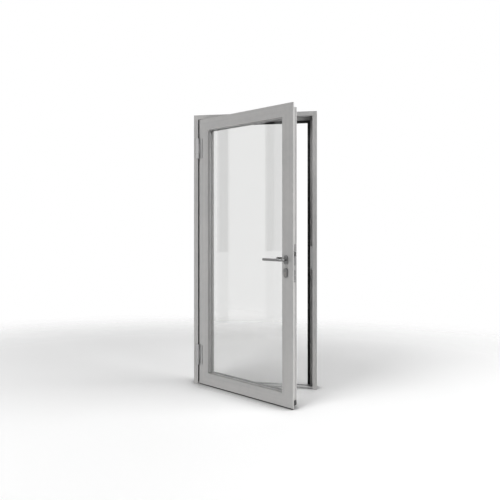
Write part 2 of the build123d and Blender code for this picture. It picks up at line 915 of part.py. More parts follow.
# Seal under the leaf: a metal channel, two rubber fins in it and an end cap at each side
body_bottom = leaf_bottom + flange_width
seal_plane = on_leaf(
    Plane((leaf_width - flange_width, 0, 0), x_dir=(0, 0, 1), z_dir=(-1, 0, 0))
)
seal_length = leaf_width - 2 * flange_width
carrier_web = body_bottom - carrier_thickness
with BuildPart() as bottom_seal_carrier:
    extrude(
        section(
            seal_plane,
            [
                (body_bottom - carrier_height, carrier_setback),
                (body_bottom, carrier_setback),
                (body_bottom, leaf_depth),
                (body_bottom - carrier_height, leaf_depth),
                (body_bottom - carrier_height, leaf_depth - carrier_thickness),
                (carrier_web, leaf_depth - carrier_thickness),
                (carrier_web, carrier_setback + carrier_thickness),
                (body_bottom - carrier_height, carrier_setback + carrier_thickness),
            ],
        ),
        amount=seal_length,
    )
bottom_seal_carrier.part.label = "bottom_seal_carrier"
export_step(bottom_seal_carrier.part, "parts/bottom_seal_carrier.step")

fin_tip = threshold_height + seal_clearance
fin_root = carrier_web - seal_base
channel_front = carrier_setback + carrier_thickness
channel_back = leaf_depth - carrier_thickness
with BuildPart() as bottom_seal_lips:
    extrude(
        section(
            seal_plane,
            [
                (carrier_web, channel_front),
                (carrier_web, channel_back),
                (fin_root, channel_back),
                (fin_root, channel_back - seal_fin_inset + seal_fin),
                (fin_tip, channel_back - seal_fin_inset + seal_fin),
                (fin_tip, channel_back - seal_fin_inset),
                (fin_root, channel_back - seal_fin_inset),
                (fin_root, channel_front + seal_fin_inset),
                (fin_tip, channel_front + seal_fin_inset),
                (fin_tip, channel_front + seal_fin_inset - seal_fin),
                (fin_root, channel_front + seal_fin_inset - seal_fin),
                (fin_root, channel_front),
            ],
        ),
        amount=seal_length,
    )
bottom_seal_lips.part.label = "bottom_seal_lips"
export_step(bottom_seal_lips.part, "parts/bottom_seal_lips.step")

with BuildPart() as bottom_seal_end_caps:
    for x, outwards in ((flange_width, -1), (leaf_width - flange_width, 1)):
        cap_plane = Plane(
            (x, carrier_setback + end_cap_margin, fin_tip), x_dir=(0, 1, 0), z_dir=(1, 0, 0)
        )
        with BuildSketch(on_leaf(cap_plane)):
            Rectangle(end_cap_depth, end_cap_height, align=(Align.MIN, Align.MIN))
        extrude(amount=outwards * end_cap_thickness)
bottom_seal_end_caps.part.label = "bottom_seal_end_caps"
export_step(bottom_seal_end_caps.part, "parts/bottom_seal_end_caps.step")

# Barrel hinges: the frame holds the two end knuckles, the leaf holds the middle one
knuckle_step = (middle_knuckle + end_knuckle) / 2 + knuckle_gap
pin_place = (hinge_x, hinge_y)
leaf_pin_place = (-leaf_gap / 2, -hinge_standoff)
for level, height in hinge_heights.items():
    with BuildPart() as frame_part:
        for step in (-knuckle_step, knuckle_step):
            with BuildSketch(Plane.XY.offset(height + step - end_knuckle / 2)):
                with Locations(pin_place):
                    Circle(knuckle_radius)
                with Locations((hinge_x - knuckle_radius, front_y)):
                    Rectangle(neck_width, hinge_standoff, align=(Align.MIN, Align.MAX))
            extrude(amount=end_knuckle)
        with BuildSketch(Plane.XY.offset(height - wing_length / 2)):
            with Locations((frame_wing_centre, front_y - wing_thickness / 2)):
                Rectangle(frame_wing_width, wing_thickness)
        extrude(amount=wing_length)
        wing_edges = frame_part.edges().filter_by(Axis.Z).sort_by(Axis.X)[:2].sort_by(Axis.Y)[:1]
        fillet(wing_edges, wing_round)
        with BuildSketch(Plane.XY.offset(height - hinge_pin_length / 2)):
            with Locations(pin_place):
                Circle(pin_radius + pin_fit)
        extrude(amount=hinge_pin_length, mode=Mode.SUBTRACT)
        with Locations(Plane.XZ.offset(-front_y + wing_thickness)):
            with Locations(
                *[
                    (frame_wing_centre, height + step * hinge_screw_pitch)
                    for step in (-1, 0, 1)
                ]
            ):
                CounterSinkHole(
                    screw_radius + screw_fit,
                    screw_head_radius + screw_fit,
                    depth=wing_thickness,
                    counter_sink_angle=sink_angle,
                )
    frame_part.part.label = f"{level}_hinge_frame_part"
    export_step(frame_part.part, f"parts/{frame_part.part.label}.step")

    with BuildPart() as leaf_part:
        with BuildSketch(on_leaf(Plane.XY.offset(height - middle_knuckle / 2))):
            with Locations(leaf_pin_place):
                Circle(knuckle_radius)
            with Locations((leaf_pin_place[0] + knuckle_radius, 0)):
                Rectangle(neck_width, hinge_standoff, align=(Align.MAX, Align.MAX))
        extrude(amount=middle_knuckle)
        with BuildSketch(on_leaf(Plane.XY.offset(height - wing_length / 2))):
            with Locations((leaf_wing_centre, -wing_thickness / 2)):
                Rectangle(leaf_wing_width, wing_thickness)
        extrude(amount=wing_length)
        with BuildSketch(on_leaf(Plane.XY.offset(height - hinge_pin_length / 2))):
            with Locations(leaf_pin_place):
                Circle(pin_radius + pin_fit + bush_wall + pin_fit)
        extrude(amount=hinge_pin_length, mode=Mode.SUBTRACT)
        with Locations(on_leaf(Plane.XZ.offset(wing_thickness))):
            with Locations(
                *[(leaf_screw_x, height + step * hinge_screw_pitch) for step in (-1, 0, 1)]
            ):
                CounterSinkHole(
                    screw_radius + screw_fit,
                    screw_head_radius + screw_fit,
                    depth=wing_thickness,
                    counter_sink_angle=sink_angle,
                )
    leaf_part.part.label = f"{level}_hinge_leaf_part"
    export_step(leaf_part.part, f"parts/{leaf_part.part.label}.step")

with BuildPart() as hinge_pins:
    for height in hinge_heights.values():
        with BuildSketch(Plane.XY.offset(height - hinge_pin_length / 2)):
            with Locations(pin_place):
                Circle(pin_radius)
        extrude(amount=hinge_pin_length)
hinge_pins.part.label = "hinge_pins"
export_step(hinge_pins.part, "parts/hinge_pins.step")

with BuildPart() as hinge_pin_caps:
    for height in hinge_heights.values():
        for up in (-1, 1):
            rim = height + up * hinge_pin_length / 2
            with BuildSketch(Plane((hinge_x, hinge_y, rim), x_dir=(1, 0, 0), z_dir=(0, -1, 0))):
                with BuildLine():
                    Polyline(
                        (0, 0),
                        (knuckle_radius, 0),
                        (knuckle_radius, up * (cap_thickness - cap_bevel)),
                        (knuckle_radius - cap_bevel, up * cap_thickness),
                        (0, up * cap_thickness),
                        close=True,
                    )
                make_face()
            revolve(axis=Axis((hinge_x, hinge_y, rim), (0, 0, 1)))
hinge_pin_caps.part.label = "hinge_pin_caps"
export_step(hinge_pin_caps.part, "parts/hinge_pin_caps.step")

bush_inner = pin_radius + pin_fit
bush_outer = bush_inner + bush_wall
with BuildPart() as hinge_bushes:
    for height in hinge_heights.values():
        half = middle_knuckle / 2
        with BuildSketch(
            Plane((hinge_x, hinge_y, height), x_dir=(1, 0, 0), z_dir=(0, -1, 0))
        ):
            with BuildLine():
                Polyline(
                    (bush_inner, -half - bush_collar),
                    (bush_collar_radius, -half - bush_collar),
                    (bush_collar_radius, -half),
                    (bush_outer, -half),
                    (bush_outer, half),
                    (bush_collar_radius, half),
                    (bush_collar_radius, half + bush_collar),
                    (bush_inner, half + bush_collar),
                    close=True,
                )
            make_face()
        revolve(axis=Axis((hinge_x, hinge_y, 0), (0, 0, 1)))
hinge_bushes.part.label = "hinge_bushes"
export_step(hinge_bushes.part, "parts/hinge_bushes.step")

# Screws of the frame: three in each hinge wing and two in the keep
with BuildPart() as frame_screws:
    for x, z in frame_hinge_screws:
        head = Plane((x, front_y - wing_thickness, z), x_dir=(0, 0, 1), z_dir=(1, 0, 0))
        revolve(screw_profile(head, screw_length), axis=Axis(head.origin, head.y_dir))
    for z in keep_screw_heights:
        head = Plane((keep_face, keep_y, z), x_dir=(0, 0, 1), z_dir=(0, -1, 0))
        revolve(
            screw_profile(head, screw_length + keep_thickness), axis=Axis(head.origin, head.y_dir)
        )
frame_screws.part.label = "frame_screws"
export_step(frame_screws.part, "parts/frame_screws.step")

# Screws of the leaf: three in each hinge wing, two in the faceplate and one that holds the cylinder
with BuildPart() as leaf_screws:
    for x, z in leaf_hinge_screws:
        head = on_leaf(Plane((x, -wing_thickness, z), x_dir=(0, 0, 1), z_dir=(1, 0, 0)))
        revolve(screw_profile(head, screw_length), axis=Axis(head.origin, head.y_dir))
    for z, length in (
        (faceplate_screw_heights[0], screw_length),
        (faceplate_screw_heights[1], screw_length),
        (cylinder_screw_height, cylinder_screw_length),
    ):
        head = on_leaf(
            Plane((leaf_width - flange_width, lock_setback, z), x_dir=(0, 0, 1), z_dir=(0, 1, 0))
        )
        revolve(screw_profile(head, length), axis=Axis(head.origin, head.y_dir))
leaf_screws.part.label = "leaf_screws"
export_step(leaf_screws.part, "parts/leaf_screws.step")

# Lock: a case open towards the faceplate, with the follower's bearings in its two side walls
case_front = leaf_width - groove_floor
case_mouth = on_leaf(
    Plane((case_front, lock_setback, faceplate_centre), x_dir=(0, 1, 0), z_dir=(1, 0, 0))
)
lock_middle = on_leaf(Plane((lever_x, lock_setback, lever_height), x_dir=(1, 0, 0), z_dir=(0, -1, 0)))
cylinder_middle = on_leaf(
    Plane((lever_x, lock_setback, cylinder_height), x_dir=(1, 0, 0), z_dir=(0, -1, 0))
)
with BuildPart() as lock_case:
    with BuildSketch(case_mouth):
        Rectangle(case_thickness, case_length)
    extrude(amount=-case_depth)
    with BuildSketch(case_mouth):
        Rectangle(case_thickness - 2 * case_wall, case_length - 2 * case_wall)
    extrude(amount=-(case_depth - case_wall), mode=Mode.SUBTRACT)
    with BuildSketch(lock_middle):
        Circle(follower_radius + follower_bore_fit)
    extrude(amount=case_thickness, both=True, mode=Mode.SUBTRACT)
    extrude(
        cylinder_profile(cylinder_middle, cylinder_fit),
        amount=case_thickness,
        both=True,
        mode=Mode.SUBTRACT,
    )
lock_case.part.label = "lock_case"
export_step(lock_case.part, "parts/lock_case.step")

with BuildPart() as lock_faceplate:
    with BuildSketch(case_mouth):
        RectangleRounded(faceplate_width, faceplate_length, faceplate_corner)
        with Locations((0, latch_centre_height - faceplate_centre)):
            Rectangle(
                latch_thickness + 2 * slot_fit, latch_height + 2 * slot_fit, mode=Mode.SUBTRACT
            )
        with Locations((0, bolt_centre_height - faceplate_centre)):
            Rectangle(
                latch_thickness + 2 * slot_fit, bolt_height + 2 * slot_fit, mode=Mode.SUBTRACT
            )
    extrude(amount=plate_groove_depth)
    with Locations(case_mouth.offset(plate_groove_depth)):
        with Locations(
            *[
                (0, height - faceplate_centre)
                for height in (*faceplate_screw_heights, cylinder_screw_height)
            ]
        ):
            CounterSinkHole(
                screw_radius + screw_fit,
                screw_head_radius + screw_fit,
                depth=plate_groove_depth,
                counter_sink_angle=sink_angle,
            )
lock_faceplate.part.label = "lock_faceplate"
export_step(lock_faceplate.part, "parts/lock_faceplate.step")

# Latch: a bevelled head, a thinner tail and the lug that the follower's arm pushes
latch_tip = backset + latch_throw
latch_head_end = latch_tip - latch_head_length
with BuildPart() as latch_bolt:
    half = latch_thickness / 2
    latch_plan = on_leaf(
        Plane(
            (lever_x, lock_setback, lever_height + latch_low), x_dir=(1, 0, 0), z_dir=(0, 0, 1)
        )
    )
    with BuildSketch(latch_plan):
        with BuildLine():
            Polyline(
                (latch_head_end, -half),
                (latch_tip, -half),
                (latch_tip, -half + latch_tip_thickness),
                (backset, half),
                (latch_head_end, half),
                close=True,
            )
        make_face()
    extrude(amount=latch_height)
    with BuildSketch(lock_middle):
        with BuildLine():
            Polyline(
                (latch_head_end, latch_low),
                (lug_place, latch_low),
                (lug_place, lug_bottom),
                (lug_place - lug_width, lug_bottom),
                (lug_place - lug_width, latch_low + latch_tail_height),
                (latch_head_end, latch_low + latch_tail_height),
                close=True,
            )
        make_face()
    extrude(amount=latch_tail_thickness / 2, both=True)
latch_bolt.part.label = "latch_bolt"
export_step(latch_bolt.part, "parts/latch_bolt.step")

with BuildPart() as deadbolt:
    with BuildSketch(on_leaf(
        Plane(
            (lever_x + backset, lock_setback, bolt_centre_height), x_dir=(0, 1, 0), z_dir=(1, 0, 0)
        )
    )):
        Rectangle(latch_thickness, bolt_height)
    extrude(amount=-bolt_length)
    nose = deadbolt.faces().sort_by(Axis(leaf_axes.origin, leaf_axes.x_dir))[-1]
    chamfer(nose.edges(), bolt_round)
deadbolt.part.label = "deadbolt"
export_step(deadbolt.part, "parts/deadbolt.step")

# Follower: the hub that the levers turn, with an arm behind the latch's lug
with BuildPart() as lock_follower:
    with BuildSketch(lock_middle):
        Circle(follower_radius)
    extrude(amount=case_thickness / 2, both=True)
    with BuildSketch(lock_middle):
        with Locations(Location((0, 0, 0), (0, 0, -follower_arm_angle))):
            Rectangle(
                follower_arm_width, follower_arm_length, align=(Align.CENTER, Align.MIN)
            )
            with Locations((0, follower_arm_length)):
                Circle(follower_arm_width / 2)
    extrude(amount=follower_arm_thickness / 2, both=True)
    with BuildSketch(lock_middle):
        Rectangle(spindle_side + 2 * spindle_fit, spindle_side + 2 * spindle_fit)
    extrude(amount=case_thickness, both=True, mode=Mode.SUBTRACT)
lock_follower.part.label = "lock_follower"
export_step(lock_follower.part, "parts/lock_follower.step")

# Levers, one on each face of the leaf, and the square spindle between them
faces = {"front": (0, -1), "rear": (leaf_depth, 1)}
for name, (face, outwards) in faces.items():
    plan = on_leaf(Plane((lever_x, face, lever_height), x_dir=(1, 0, 0), z_dir=(0, 0, 1)))
    lever_face = on_leaf(
        Plane((lever_x, face, lever_height), x_dir=(-outwards, 0, 0), z_dir=(0, outwards, 0))
    )
    with BuildPart() as lever:
        with BuildLine(plan) as centre_line:
            neck = Line(
                (0, outwards * lever_base_gap), (0, outwards * (lever_standoff - lever_bend))
            )
            bend = TangentArc(
                neck @ 1, (-lever_bend, outwards * lever_standoff), tangent=neck % 1
            )
            Line(bend @ 1, (-lever_reach, outwards * lever_standoff))
        with BuildSketch(lever_face.offset(lever_base_gap)):
            Circle(lever_radius)
        sweep()
        tip = centre_line.line @ 1
        fillet(
            lever.edges().filter_by(GeomType.CIRCLE).sort_by_distance(tip)[:1], lever_end_round
        )
        with BuildSketch(lever_face.offset(plate_thickness + collar_gap)):
            Circle(collar_radius)
        extrude(amount=collar_thickness)
        with BuildSketch(lever_face.offset(lever_base_gap)):
            Rectangle(spindle_side + 2 * spindle_fit, spindle_side + 2 * spindle_fit)
        extrude(amount=socket_depth, mode=Mode.SUBTRACT)
    lever.part.label = f"{name}_lever"
    export_step(lever.part, f"parts/{lever.part.label}.step")

    with BuildPart() as rose:
        with BuildSketch(lever_face):
            SlotOverall(plate_height, plate_width, rotation=90)
            Circle(lever_radius + lever_bearing_fit, mode=Mode.SUBTRACT)
        extrude(amount=plate_thickness)
        rim = rose.faces().sort_by(Axis(lever_face.origin, lever_face.z_dir))[-1].outer_wire()
        chamfer(rim.edges(), plate_bevel)
    rose.part.label = f"{name}_lever_rose"
    export_step(rose.part, f"parts/{rose.part.label}.step")

    key_face = on_leaf(
        Plane((lever_x, face, cylinder_height), x_dir=(-outwards, 0, 0), z_dir=(0, outwards, 0))
    )
    with BuildPart() as escutcheon:
        with BuildSketch(key_face):
            SlotOverall(plate_height, plate_width, rotation=90)
        extrude(amount=plate_thickness)
        rim = escutcheon.faces().sort_by(Axis(key_face.origin, key_face.z_dir))[-1].outer_wire()
        chamfer(rim.edges(), plate_bevel)
        extrude(
            cylinder_profile(key_face, cylinder_fit), amount=plate_thickness, mode=Mode.SUBTRACT
        )
    escutcheon.part.label = f"{name}_escutcheon"
    export_step(escutcheon.part, f"parts/{escutcheon.part.label}.step")

with BuildPart() as lever_spindle:
    spindle_start = lever_base_gap + socket_depth - spindle_end_gap
    with BuildSketch(lock_front.offset(spindle_start)):
        Rectangle(spindle_side, spindle_side)
    extrude(amount=-(leaf_depth + 2 * spindle_start))
lever_spindle.part.label = "lever_spindle"
export_step(lever_spindle.part, "parts/lever_spindle.step")

# Key cylinder: a keyhole-shaped housing cut away round the cam, and the plug that carries the cam
housing_start = plate_thickness + cylinder_proud
housing_length = leaf_depth + 2 * housing_start
with BuildPart() as cylinder_housing:
    extrude(cylinder_profile(cylinder_front.offset(housing_start)), amount=-housing_length)
    with BuildSketch(cylinder_front.offset(housing_start)):
        Circle(plug_radius + plug_fit)
    extrude(amount=-housing_length, mode=Mode.SUBTRACT)
    with BuildSketch(cylinder_middle):
        cam_space = cam_radius + cam_clearance
        Rectangle(2 * cam_space, 2 * cam_space)
    extrude(amount=cam_slot / 2, both=True, mode=Mode.SUBTRACT)
    with BuildSketch(
        on_leaf(
            Plane(
                (lever_x + cylinder_web, lock_setback, cylinder_screw_height),
                x_dir=(0, 1, 0),
                z_dir=(1, 0, 0),
            )
        )
    ):
        Circle(screw_radius + screw_fit)
    extrude(amount=-2 * cylinder_web, mode=Mode.SUBTRACT)
cylinder_housing.part.label = "cylinder_housing"
export_step(cylinder_housing.part, "parts/cylinder_housing.step")

with BuildPart() as cylinder_plug:
    with BuildSketch(cylinder_front.offset(housing_start + plug_proud)):
        Circle(plug_radius)
    extrude(amount=-(housing_length + 2 * plug_proud))
    with BuildSketch(cylinder_middle):
        Circle(cam_radius)
        Rectangle(cam_width, cam_radius, align=(Align.CENTER, Align.MAX), mode=Mode.INTERSECT)
    extrude(amount=cam_thickness / 2, both=True)
    for end, inwards in (
        (housing_start + plug_proud, -1),
        (-leaf_depth - housing_start - plug_proud, 1),
    ):
        with BuildSketch(cylinder_front.offset(end)):
            Rectangle(keyway_width, keyway_height)
        extrude(amount=inwards * keyway_depth, mode=Mode.SUBTRACT)
cylinder_plug.part.label = "cylinder_plug"
export_step(cylinder_plug.part, "parts/cylinder_plug.step")
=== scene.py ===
# %% [markdown]
# # A glazed door, dressed for the camera
#
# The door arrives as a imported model: sixty pieces, each at its place, in metres. This lesson
# gives each of them the surface that the real material has, makes the screws anew with the
# sockets that the plain solids lack, adds three thin rubber seals, and sets up a small white
# studio round the door. No piece has to be fitted, because the model and this scene share one
# frame: X runs across the door, Y from the face with the hinges to the back, and Z upwards.

import json
import math

import bmesh
import bpy
import numpy as np
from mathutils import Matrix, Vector


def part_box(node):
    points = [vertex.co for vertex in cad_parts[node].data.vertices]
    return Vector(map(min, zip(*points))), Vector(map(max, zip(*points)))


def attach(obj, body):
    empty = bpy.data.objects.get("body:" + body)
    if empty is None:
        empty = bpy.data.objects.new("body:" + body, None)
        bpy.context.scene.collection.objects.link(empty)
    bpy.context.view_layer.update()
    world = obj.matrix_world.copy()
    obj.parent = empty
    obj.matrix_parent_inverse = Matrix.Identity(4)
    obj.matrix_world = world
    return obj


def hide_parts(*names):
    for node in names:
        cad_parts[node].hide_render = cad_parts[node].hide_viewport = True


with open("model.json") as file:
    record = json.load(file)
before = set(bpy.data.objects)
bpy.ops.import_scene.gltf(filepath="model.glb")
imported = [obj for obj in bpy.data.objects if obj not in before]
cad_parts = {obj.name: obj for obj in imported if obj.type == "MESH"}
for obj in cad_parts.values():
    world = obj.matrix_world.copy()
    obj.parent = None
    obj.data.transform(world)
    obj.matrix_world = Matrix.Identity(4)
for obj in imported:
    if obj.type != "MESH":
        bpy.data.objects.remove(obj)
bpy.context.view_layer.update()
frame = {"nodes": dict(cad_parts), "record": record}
nodes = frame["nodes"]

# %% [markdown]
# Lengths on the door are easiest to think of in millimetres, while Blender counts in metres.
# One value turns the first into the second, and the colour of a finish is written as the share
# of light that it gives back, because that is what the shaders work with.

# %% Units
MM = 0.001


def grey(share, warmth=0.0):
    """A grey that gives back this share of the light, a little warmer or cooler if asked."""
    return (share * (1 + warmth), share, share * (1 - warmth), 1.0)


print("a satin grey:", grey(0.4))

# %% [markdown]
# A finish is a small web of nodes. Wiring it by hand takes many lines, so two helpers come
# first. Wire holds one output of a node and lets sums be written as in school, and each sum
# adds its Math node. Finish holds the material, or another owner of nodes such as the world,
# and makes every other kind of node. The other way would be to click the web together in the
# editor, but a script can be read, compared and run again.

# %% Wires and finishes
class Wire:
    """One output of a node, which can stand in a sum."""

    def __init__(self, finish, socket):
        self.finish = finish
        self.socket = socket

    def maths(self, operation, first, second):
        return self.finish.node("ShaderNodeMath", {"operation": operation}, {0: first, 1: second})

    def __add__(self, other):
        return self.maths("ADD", self, other)

    def __radd__(self, other):
        return self.maths("ADD", other, self)

    def __sub__(self, other):
        return self.maths("SUBTRACT", self, other)

    def __rsub__(self, other):
        return self.maths("SUBTRACT", other, self)

    def __mul__(self, other):
        return self.maths("MULTIPLY", self, other)

    def __rmul__(self, other):
        return self.maths("MULTIPLY", other, self)


class Finish:
    """A material on its way from bare nodes to the surface of a real piece."""

    def __init__(self, name, owner=None):
        self.material = owner or bpy.data.materials.new(name)
        self.material.use_nodes = True
        self.tree = self.material.node_tree
        self.tree.nodes.clear()
        self.place = self.node("ShaderNodeTexCoord", output="Object")

    def node(self, kind, settings=None, inputs=None, output=0):
        """Makes a node, sets it up, feeds its sockets and gives back one of its outputs."""
        made = self.tree.nodes.new(kind)
        for name, value in (settings or {}).items():
            if name == "stops":
                ramp = made.color_ramp.elements
                while len(ramp) < len(value):
                    ramp.new(0.5)
                for stop, (position, colour) in zip(ramp, value):
                    stop.position = position
                    stop.color = colour
            else:
                setattr(made, name, value)
        for name, value in (inputs or {}).items():
            if isinstance(value, Wire):
                self.tree.links.new(value.socket, made.inputs[name])
            else:
                made.inputs[name].default_value = value
        return Wire(self, made.outputs[output])

    def mixed(self, share, low, high):
        """The colour low where share is 0, high where it is 1."""
        inputs = {0: share, 6: low, 7: high}
        return self.node("ShaderNodeMix", {"data_type": "RGBA"}, inputs, output=2)

    def turned(self, angle, stretch):
        """The place on the door, turned about Z by an angle in degrees and then stretched."""
        spin = self.node(
            "ShaderNodeVectorRotate",
            {"rotation_type": "Z_AXIS"},
            {"Vector": self.place, "Angle": math.radians(angle)},
        )
        return self.node("ShaderNodeVectorMath", {"operation": "MULTIPLY"}, {0: spin, 1: stretch})

    def grain(self, size, place=None, detail=2.0, roughness=0.5):
        """Smooth random specks, each about this many metres across."""
        return self.node(
            "ShaderNodeTexNoise",
            inputs={
                "Vector": place or self.place,
                "Scale": 1.0 / size,
                "Detail": detail,
                "Roughness": roughness,
            },
        )

    def between(self, value, low, high):
        """Rises smoothly from 0 to 1 as the value goes from low to high."""
        return self.node(
            "ShaderNodeMapRange",
            {"interpolation_type": "SMOOTHSTEP"},
            {"Value": value, "From Min": low, "From Max": high},
        )

    def relief(self, height, depth, strength, normal=None):
        """Turns a height from 0 to 1 into dents of this depth in metres."""
        sockets = {"Height": height, "Distance": depth, "Strength": strength}
        if normal:
            sockets["Normal"] = normal
        return self.node("ShaderNodeBump", inputs=sockets)

    def surface(self, **sockets):
        """Ends the web in a principled shader, whose sockets are named with underscores."""
        shader = self.node(
            "ShaderNodeBsdfPrincipled",
            inputs={name.replace("_", " "): value for name, value in sockets.items()},
        )
        return self.ended(shader)

    def ended(self, shader, kind="Material"):
        """Leads a shader to the output of the web."""
        end = self.tree.nodes.new("ShaderNodeOutput" + kind)
        self.tree.links.new(shader.socket, end.inputs["Surface"])
        print("finish:", self.material.name, "nodes:", len(self.tree.nodes))
        return self.material


# %% [markdown]
# The profiles of the frame and the leaf are extruded aluminium with a baked powder coat. Seen
# close, such a coat has a soft orange peel about a millimetre across, a fine sparkle in its
# gloss, and it is thinner and brighter along the edges. The die lines of the metal under it
# stay faintly visible along each profile, the grey varies a little from place to place, and a
# little dust lies near the floor. A photo texture would tile over two metres of profile, so all
# of it is made from noise, which never repeats. The lines need a direction, so there is one
# coat for upright profiles, one for the head and one for the rails of the open leaf.

# %% Powder coat
COAT = 0.405
WARMTH = 0.012
PEEL = 1.3 * MM
EDGE = 0.9 * MM
SWING = 0.08
DUST = grey(0.46, 0.03)
DUST_HEIGHT = 0.12
LEAF_ANGLE = 30.0
UPRIGHT_LINES = (75.0, 75.0, 1.2)
LEVEL_LINES = (1.2, 75.0, 75.0)


def edge_mask(finish, radius):
    """1 along the outer edges of a piece and 0 on its flats, and the rounded normal there."""
    rounded = finish.node("ShaderNodeBevel", {"samples": 4}, {"Radius": radius})
    flat = finish.node("ShaderNodeNewGeometry", output="Normal")
    alike = finish.node(
        "ShaderNodeVectorMath", {"operation": "DOT_PRODUCT"}, {0: rounded, 1: flat}, output=1
    )
    return finish.between(1 - alike, 0.02, 0.25), rounded


def powder_coat(name, share, angle, stretch):
    """Baked powder coat on a profile, with die lines, lighter edges and dust near the floor."""
    coat = Finish(name)
    edge, rounded = edge_mask(coat, EDGE)
    cloud = coat.grain(0.30, detail=3.0)
    mottle = coat.grain(35 * MM, detail=3.0)
    lines = coat.grain(1.0, coat.turned(angle, stretch), detail=3.0, roughness=0.6)
    peel = coat.grain(PEEL, detail=1.5)
    sparkle = coat.grain(0.3 * MM, detail=0.0)
    height = coat.node("ShaderNodeSeparateXYZ", inputs={0: coat.place}, output="Z")
    dust = (1 - coat.between(height, 0.0, DUST_HEIGHT)) * coat.grain(9 * MM, detail=4.0)
    uneven = cloud * 0.25 + mottle * 0.25 + lines * 0.5
    dark = grey(share * (1 - SWING), WARMTH * 0.4)
    pale = grey(share * (1 + SWING), WARMTH * 1.4)
    tone = coat.mixed(coat.between(uneven, 0.3, 0.7), dark, pale)
    tone = coat.mixed(edge * 0.35, tone, grey(share * 1.3, WARMTH))
    tone = coat.mixed(dust * 0.30, tone, DUST)
    return coat.surface(
        Base_Color=tone,
        Roughness=0.41 + 0.07 * sparkle + 0.07 * lines + 0.15 * dust,
        Normal=coat.relief(peel * 0.7 + lines * 0.3, 0.05 * MM, 0.35, rounded),
    )


upright_coat = powder_coat("grey_coat_upright", COAT, 0.0, UPRIGHT_LINES)
head_coat = powder_coat("grey_coat_head", COAT, 0.0, LEVEL_LINES)
rail_coat = powder_coat("grey_coat_rail", COAT, LEAF_ANGLE, LEVEL_LINES)

# %% [markdown]
# The threshold, the corner cleats and the spacer between the panes are bare aluminium. The die
# leaves fine lines along the profile, so the noise is stretched along its length. The leaf
# stands open at thirty degrees, so its pieces need the lines turned with it. The spacer is
# paler and duller than the rest, because such strips are anodised.

# %% Bare aluminium
METAL_EDGE = 0.5 * MM
DIE_LINES = (3.0, 900.0, 900.0)


def drawn_aluminium(name, share, angle, roughness):
    """Aluminium as it leaves the die, with lines along X turned by an angle."""
    metal = Finish(name)
    lines = metal.grain(1.0, metal.turned(angle, DIE_LINES), detail=3.0)
    cloud = metal.grain(0.08, detail=3.0)
    edge, rounded = edge_mask(metal, METAL_EDGE)
    tone = metal.mixed(lines * 0.6 + cloud * 0.4, grey(share * 0.88), grey(share * 1.1))
    return metal.surface(
        Base_Color=metal.mixed(edge * 0.4, tone, grey(min(1.0, share * 1.35))),
        Metallic=1.0,
        Roughness=roughness + 0.10 * lines + 0.06 * cloud,
        Normal=metal.relief(lines, 0.02 * MM, 0.4, rounded),
    )


bare_frame = drawn_aluminium("bare_aluminium_frame", 0.50, 0.0, 0.36)
bare_leaf = drawn_aluminium("bare_aluminium_leaf", 0.50, LEAF_ANGLE, 0.36)
spacer_metal = drawn_aluminium("bright_spacer_aluminium", 0.80, LEAF_ANGLE, 0.50)

# %% [markdown]
# The levers, roses and key plates are stainless steel, brushed along their length. The bolts
# and the keep are plainer steel, the key cylinder is brass with a dull nickel plate, and the
# hinges are satin aluminium. They are the same recipe with other numbers, so one function
# makes them all.

# %% Steel and nickel
HAIR_DEPTH = 0.015 * MM


def brushed_metal(name, share, angle, stretch, roughness, warmth=0.0):
    """Metal brushed along one direction, with hairlines and a slightly uneven gloss."""
    metal = Finish(name)
    hair = metal.grain(1.0, metal.turned(angle, stretch), detail=4.0, roughness=0.6)
    patch = metal.grain(25 * MM, detail=2.0)
    edge, rounded = edge_mask(metal, METAL_EDGE)
    tone = metal.mixed(hair, grey(share * 0.85, warmth), grey(share * 1.12, warmth))
    return metal.surface(
        Base_Color=metal.mixed(edge * 0.5, tone, grey(share * 1.4, warmth)),
        Metallic=1.0,
        Roughness=roughness + 0.14 * hair + 0.08 * patch,
        Normal=metal.relief(hair, HAIR_DEPTH, 0.4, rounded),
    )


ALONG = (40.0, 2200.0, 2200.0)
UPWARDS = (2200.0, 2200.0, 40.0)
CAST = (600.0, 900.0, 900.0)
face_steel = brushed_metal("brushed_faceplate_steel", 0.24, LEAF_ANGLE, UPWARDS, 0.42)
lever_steel = brushed_metal("brushed_lever_steel", 0.22, LEAF_ANGLE, ALONG, 0.27)
plate_steel = brushed_metal("brushed_plate_steel", 0.215, LEAF_ANGLE, UPWARDS, 0.28)
bolt_steel = brushed_metal("ground_bolt_steel", 0.45, LEAF_ANGLE, ALONG, 0.24)
keep_steel = brushed_metal("brushed_keep_steel", 0.42, 0.0, UPWARDS, 0.30)
nickel = brushed_metal("dull_nickel", 0.30, LEAF_ANGLE, CAST, 0.34, warmth=0.04)
hinge_metal = brushed_metal("hinge_aluminium", 0.46, 0.0, UPWARDS, 0.38)

# %% [markdown]
# Black pieces look alike from far away, but not close by. Moulded plastic has a fine even
# texture from its mould and scuffs from its handling. An extruded seal has a finer grain, less
# gloss, and a grey bloom where the rubber has aged. Both need some light in their colour,
# because a true black would hide their shape. The gaskets that hold the glass are grey, and so
# is the sealant round its edge, from the same recipe. Real sealant can be grey, but its grey here
# is also painted light, which lightens a strip that the panes keep in shade.

# %% Plastic and rubber
def moulded_plastic(name, share):
    """Polyamide with the fine grain of its mould."""
    plastic = Finish(name)
    mould = plastic.grain(0.5 * MM, detail=2.0)
    scuffs = plastic.between(plastic.grain(6 * MM, detail=5.0), 0.55, 0.75)
    return plastic.surface(
        Base_Color=plastic.mixed(scuffs * 0.4, grey(share), grey(share * 2.4)),
        Roughness=0.46 + 0.12 * mould + 0.10 * scuffs,
        Normal=plastic.relief(mould, 0.05 * MM, 0.5),
    )


RUBBER_GRAIN = (900.0, 900.0, 900.0)


